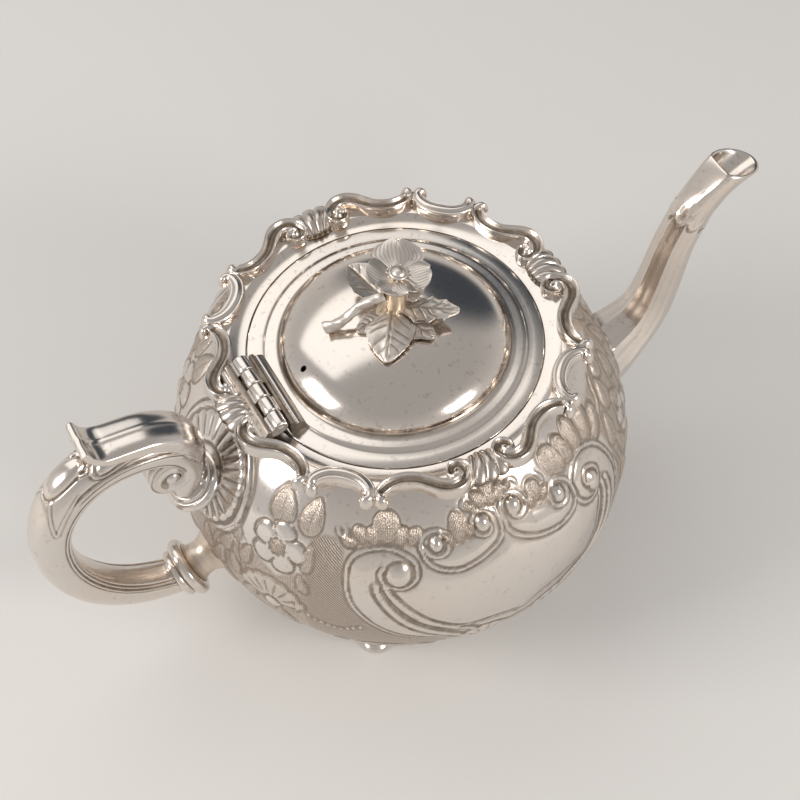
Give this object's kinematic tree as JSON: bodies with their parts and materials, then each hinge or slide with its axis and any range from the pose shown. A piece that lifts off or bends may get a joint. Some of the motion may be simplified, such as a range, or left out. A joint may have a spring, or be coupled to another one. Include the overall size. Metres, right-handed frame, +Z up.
{
  "type": "teapot",
  "caption": "Silver-plated teapot with a round chased body on cast feet, hinged domed lid with a blossom finial, panelled spout and scroll handle.",
  "frame": {"origin": "on the table, midway between the spout's tip and the handle's back; the round body stands on its axis through the origin to within 2 mm", "axes": "+X towards the spout, +Y across the pot, +Z up"},
  "size_m": [0.2791, 0.1604, 0.1464],
  "materials": {
    "body": "polished silver plate, chased, with dark patina in the hollows",
    "base": "satin silver plate, worn",
    "feet": "cast and plated, patina in the hollows",
    "gallery": "polished silver plate",
    "rim": "cast and plated, patina in the hollows",
    "spout": "polished silver plate",
    "handle": "polished silver plate, worn at the edges",
    "collars": "polished silver plate",
    "gilt": "plate worn through to warm base metal",
    "hinge": "polished silver plate",
    "lid": "polished silver plate with fine scratches",
    "bezel": "satin silver plate",
    "nut": "turned brass, dull",
    "blossom": "matt cast silver plate with veins",
    "leaves": "matt cast silver plate with veins"
  },
  "bodies": {
    "pot": {"body_shell": "body", "chased_scrolls": "body", "base_plate": "base", "foot_front_left": "feet", "foot_front_right": "feet", "foot_back_left": "feet", "foot_back_right": "feet", "gallery": "gallery", "rim_shell_spout": "rim", "rim_shell_back": "rim", "rim_shell_handle": "rim", "rim_shell_front": "rim", "rim_c_scrolls": "rim", "spout": "spout", "handle": "handle", "handle_volute": "handle", "thumb_rest": "handle", "handle_tongue": "handle", "upper_socket": "body", "upper_collar": "collars", "lower_socket": "gilt", "lower_collar": "collars", "hinge_block": "hinge", "hinge_pin": "hinge"},
    "lid_assembly": {"lid": "lid", "lid_bezel": "bezel", "lid_leaf": "hinge", "finial_stem": "gilt", "finial_nut": "nut", "finial_washer": "nut", "blossom": "blossom", "blossom_eye": "blossom", "leaf_left": "leaves", "leaf_under_twig": "leaves", "leaf_front": "leaves", "leaf_lobed": "leaves", "leaf_right": "leaves", "leaf_back": "leaves", "twig": "leaves"}
  },
  "joints": [
    {"name": "lid_hinge", "type": "hinge", "parent": "pot", "child": "lid_assembly", "pos_m": [-0.0495, 0, 0.1143], "axis": [0, -1, 0], "range_deg": [0, 105]}
  ]
}
